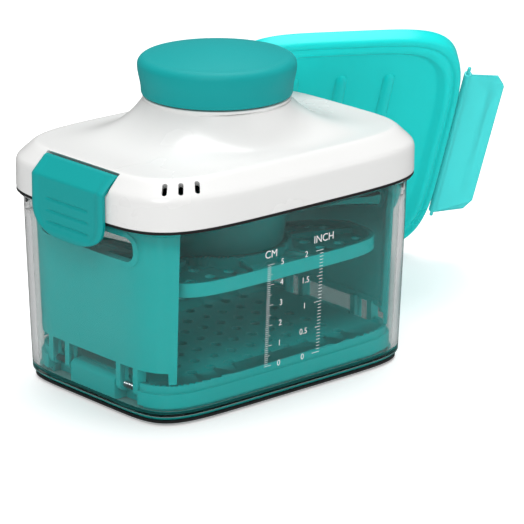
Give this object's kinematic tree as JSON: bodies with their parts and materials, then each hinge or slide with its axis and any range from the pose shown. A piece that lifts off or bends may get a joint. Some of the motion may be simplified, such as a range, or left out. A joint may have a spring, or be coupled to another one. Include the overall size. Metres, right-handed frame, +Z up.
{
  "type": "tofu press",
  "caption": "Tofu press: clear container with a lifting tray and folding end flaps, a screw press plate under a latched lid with a round knob, and a loose storage cover.",
  "frame": {"origin": "on the table, under the middle of the container", "axes": "+X along the long side towards the right latch, +Y towards the back where the storage cover leans, +Z up"},
  "size_m": [0.3042, 0.194, 0.1583],
  "materials": {
    "clear_plastic": "clear moulded plastic",
    "black_rubber": "soft black rubber",
    "pale_rubber": "pale soft feet",
    "teal_plastic": "satin teal plastic",
    "teal_grip": "soft-touch teal cover",
    "white_plastic": "smooth white plastic",
    "pale_plastic": "slippery bearing plastic",
    "clear_seal": "translucent silicone",
    "aqua_plastic": "translucent aqua plastic",
    "steel": "stainless steel"
  },
  "bodies": {
    "container": {"container_body": "clear_plastic", "base_ring": "black_rubber", "rubber_feet": "pale_rubber"},
    "tray": {"lifting_tray": "teal_plastic", "hinge_pin_left": "steel", "hinge_pin_right": "steel"},
    "flap_left": {"end_flap_left": "teal_plastic"},
    "flap_right": {"end_flap_right": "teal_plastic"},
    "lid": {"lid_shell": "white_plastic", "lid_liner": "teal_plastic", "liner_screws": "steel", "lid_gasket": "black_rubber", "bearing_ring": "pale_plastic", "thrust_washer": "pale_plastic", "latch_pin_left": "steel", "latch_pin_right": "steel"},
    "knob": {"spindle": "steel", "knob_core": "white_plastic", "knob_grip": "teal_grip", "knob_screw": "steel"},
    "press": {"press_plate": "teal_plastic", "press_column": "teal_plastic", "press_nut": "pale_plastic", "column_screws": "steel"},
    "latch_left": {"latch_left": "teal_plastic"},
    "latch_right": {"latch_right": "teal_plastic"},
    "cover": {"storage_cover": "aqua_plastic", "storage_gasket": "clear_seal", "clip_pin_left": "aqua_plastic", "clip_pin_right": "aqua_plastic"},
    "clip_left": {"storage_clip_left": "aqua_plastic"},
    "clip_right": {"storage_clip_right": "aqua_plastic"}
  },
  "joints": [
    {"name": "lid_lift", "type": "slide", "parent": "container", "child": "lid", "axis": [0, 0, 1], "range_m": [0, 0.16]},
    {"name": "tray_lift", "type": "slide", "parent": "container", "child": "tray", "axis": [0, 0, 1], "range_m": [0, 0.11]},
    {"name": "flap_left_fold", "type": "hinge", "parent": "tray", "child": "flap_left", "pos_m": [-0.07204, 0, 0.0134], "axis": [0, -1, 0], "range_deg": [0, 1]},
    {"name": "flap_right_fold", "type": "hinge", "parent": "tray", "child": "flap_right", "pos_m": [0.07204, 0, 0.0134], "axis": [0, 1, 0], "range_deg": [0, 1]},
    {"name": "knob_turn", "type": "hinge", "parent": "lid", "child": "knob", "pos_m": [0, 0, 0.15], "axis": [0, 0, -1], "range_deg": [-325, 775]},
    {"name": "plate_press", "type": "slide", "parent": "lid", "child": "press", "axis": [0, 0, -1], "range_m": [-0.011, 0.026]},
    {"name": "latch_left_swing", "type": "hinge", "parent": "lid", "child": "latch_left", "pos_m": [-0.08134, 0, 0.113], "axis": [0, 1, 0], "range_deg": [0, 100]},
    {"name": "latch_right_swing", "type": "hinge", "parent": "lid", "child": "latch_right", "pos_m": [0.08134, 0, 0.113], "axis": [0, -1, 0], "range_deg": [0, 100]},
    {"name": "cover_away", "type": "slide", "parent": "container", "child": "cover", "axis": [0.5045, 0.8634, 0], "range_m": [0, 0.16]},
    {"name": "clip_left_fold", "type": "hinge", "parent": "cover", "child": "clip_left", "pos_m": [0.0689, 0.09412, 0.07243], "axis": [0.2966, 0.5075, -0.809], "range_deg": [0, 90]},
    {"name": "clip_right_fold", "type": "hinge", "parent": "cover", "child": "clip_right", "pos_m": [0.18287, 0.02753, 0.07243], "axis": [-0.2966, -0.5075, 0.809], "range_deg": [0, 90]}
  ],
  "couplings": [
    {"joint": "tray_lift", "follows": "lid_lift", "ratio": 0.65},
    {"joint": "cover_away", "follows": "lid_lift", "ratio": 1},
    {"joint": "plate_press", "follows": "knob_turn", "m_per_rad": 0.0019099}
  ]
}
